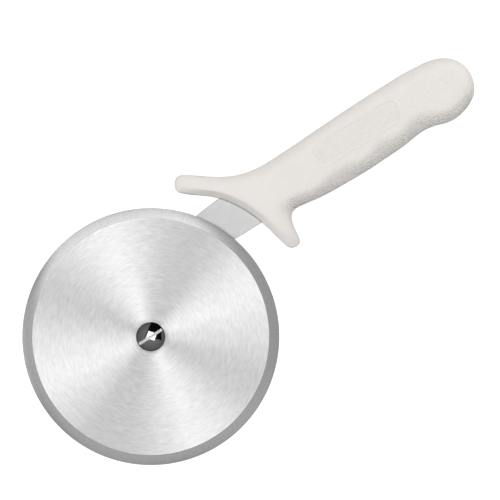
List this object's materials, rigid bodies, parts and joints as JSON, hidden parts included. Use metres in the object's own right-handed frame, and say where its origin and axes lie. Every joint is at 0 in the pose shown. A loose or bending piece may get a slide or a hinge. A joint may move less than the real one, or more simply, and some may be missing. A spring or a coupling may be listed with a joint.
{
  "type": "pizza cutter",
  "caption": "Hand-held cutter with a free-turning steel wheel on a slotted axle bolt, a cranked sheet steel arm and a moulded plastic handle with a finger guard.",
  "frame": {"origin": "middle of the footprint, at the height of the table that the cutter lies on", "axes": "+X from the wheel to the butt of the handle, +Z along the wheel's axle, from the arm to the wheel"},
  "size_m": [0.2662, 0.127, 0.0216],
  "materials": {
    "white_plastic": "warm white moulded polypropylene, finely pebbled on the grip",
    "satin_steel": "satin sheet steel",
    "brushed_steel": "brushed in rings round the axle, with a radially ground edge",
    "polished_steel": "polished",
    "black_plastic": "black moulded acetal"
  },
  "bodies": {
    "handle_and_arm": {"handle": "white_plastic", "blade_arm": "satin_steel", "axle_bolt": "polished_steel", "head_washer": "black_plastic", "spacer_washer": "black_plastic", "lock_washer": "satin_steel", "cap_nut": "polished_steel"},
    "wheel": {"cutting_wheel": "brushed_steel"}
  },
  "joints": [
    {"name": "wheel_spin", "type": "hinge", "parent": "handle_and_arm", "child": "wheel", "pos_m": [-0.0696, 0, 0.0144], "axis": [0, 0, 1], "continuous": true}
  ]
}
